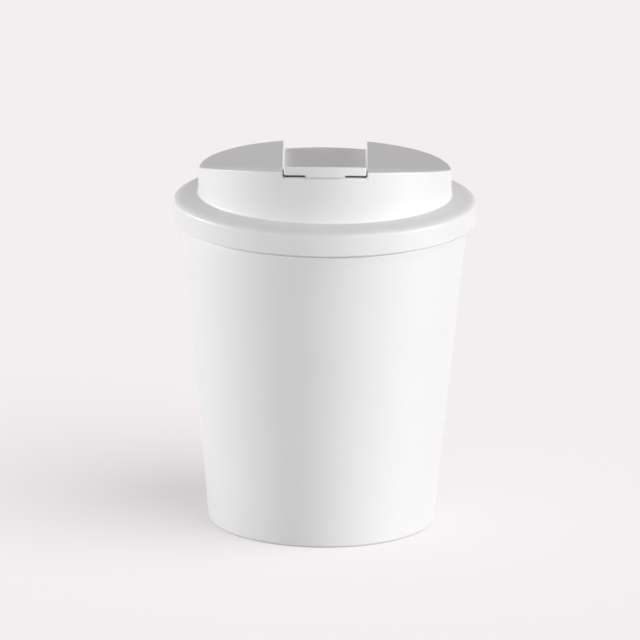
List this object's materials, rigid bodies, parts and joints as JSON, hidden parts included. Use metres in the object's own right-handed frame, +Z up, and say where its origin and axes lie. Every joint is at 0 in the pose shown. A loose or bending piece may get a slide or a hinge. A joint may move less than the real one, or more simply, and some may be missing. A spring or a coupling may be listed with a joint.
{
  "type": "travel mug",
  "caption": "Tapered double-wall plastic travel mug with a screw-on lid, a sealing ring and a hinged flip cap with a soft stopper over the drinking hole.",
  "frame": {"origin": "centre of the base, on the surface that the mug stands on", "axes": "+Z up along the mug's axis; the drinking side and the cap's lip face -Y; the cap's hinge runs along X"},
  "size_m": [0.09, 0.09, 0.1178],
  "materials": {
    "cup_outer": "satin white moulded polypropylene",
    "cup_liner": "satin white moulded polypropylene",
    "lid": "satin white moulded polypropylene",
    "cap": "satin white moulded polypropylene",
    "seal": "translucent pale silicone",
    "stopper": "translucent pale silicone"
  },
  "bodies": {
    "cup": {"outer_shell": "cup_outer", "inner_liner": "cup_liner"},
    "seal": {"sealing_ring": "seal"},
    "lid": {"lid_body": "lid"},
    "cap": {"flip_cap": "cap", "stopper": "stopper"}
  },
  "joints": [
    {"name": "lid_lift", "type": "slide", "parent": "cup", "child": "seal", "axis": [0, 0, 1], "range_m": [0, 0.016]},
    {"name": "lid_turn", "type": "hinge", "parent": "seal", "child": "lid", "pos_m": [0, 0, 0.0983], "axis": [0, 0, 1], "range_deg": [0, 360]},
    {"name": "cap_flip", "type": "hinge", "parent": "lid", "child": "cap", "pos_m": [0, -0.003, 0.10697], "axis": [-1, 0, 0], "range_deg": [0, 165]}
  ],
  "couplings": [
    {"joint": "lid_lift", "follows": "lid_turn", "m_per_rad": 0.0025465}
  ]
}
